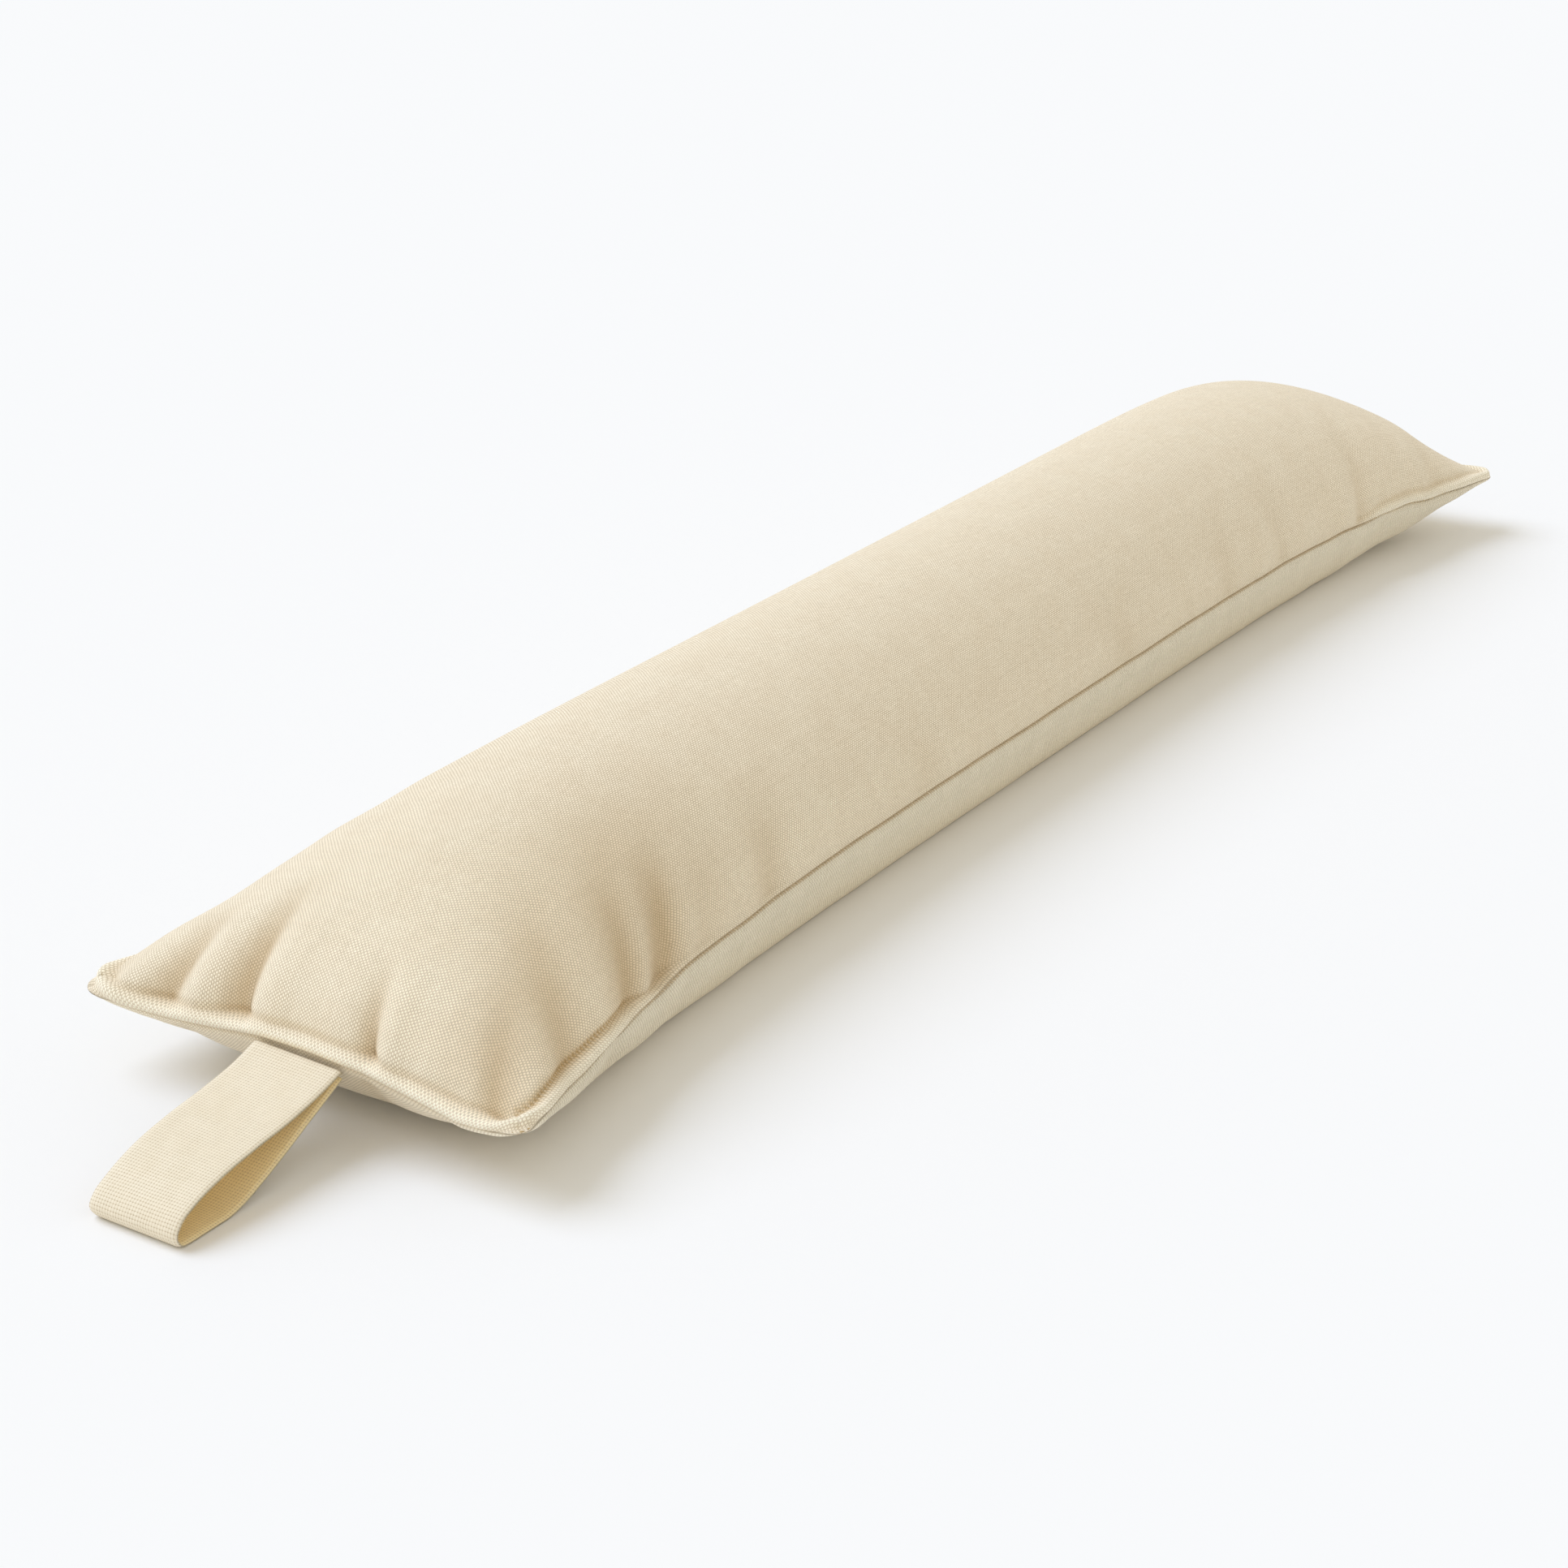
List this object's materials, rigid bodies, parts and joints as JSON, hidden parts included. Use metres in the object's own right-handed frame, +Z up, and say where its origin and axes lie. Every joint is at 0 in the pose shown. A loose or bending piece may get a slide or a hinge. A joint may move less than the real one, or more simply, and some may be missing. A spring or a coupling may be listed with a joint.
{
  "type": "draught excluder",
  "caption": "Long filled canvas draught excluder that lies along the foot of a door, with a folded webbing loop sewn into one end seam for hanging or carrying.",
  "frame": {"origin": "on the surface under the middle of the cushion, in the flat face that it lies on", "axes": "+X along the cushion, away from the webbing loop; +Y across it; +Z up"},
  "size_m": [0.9485, 0.1966, 0.0968],
  "materials": {
    "canvas": "natural cream canvas in a coarse plain weave, matt",
    "webbing": "natural cream cotton webbing in a tight ribbed plain weave, matt"
  },
  "bodies": {
    "root": {"cushion": "canvas", "webbing_loop": "webbing"}
  },
  "joints": []
}
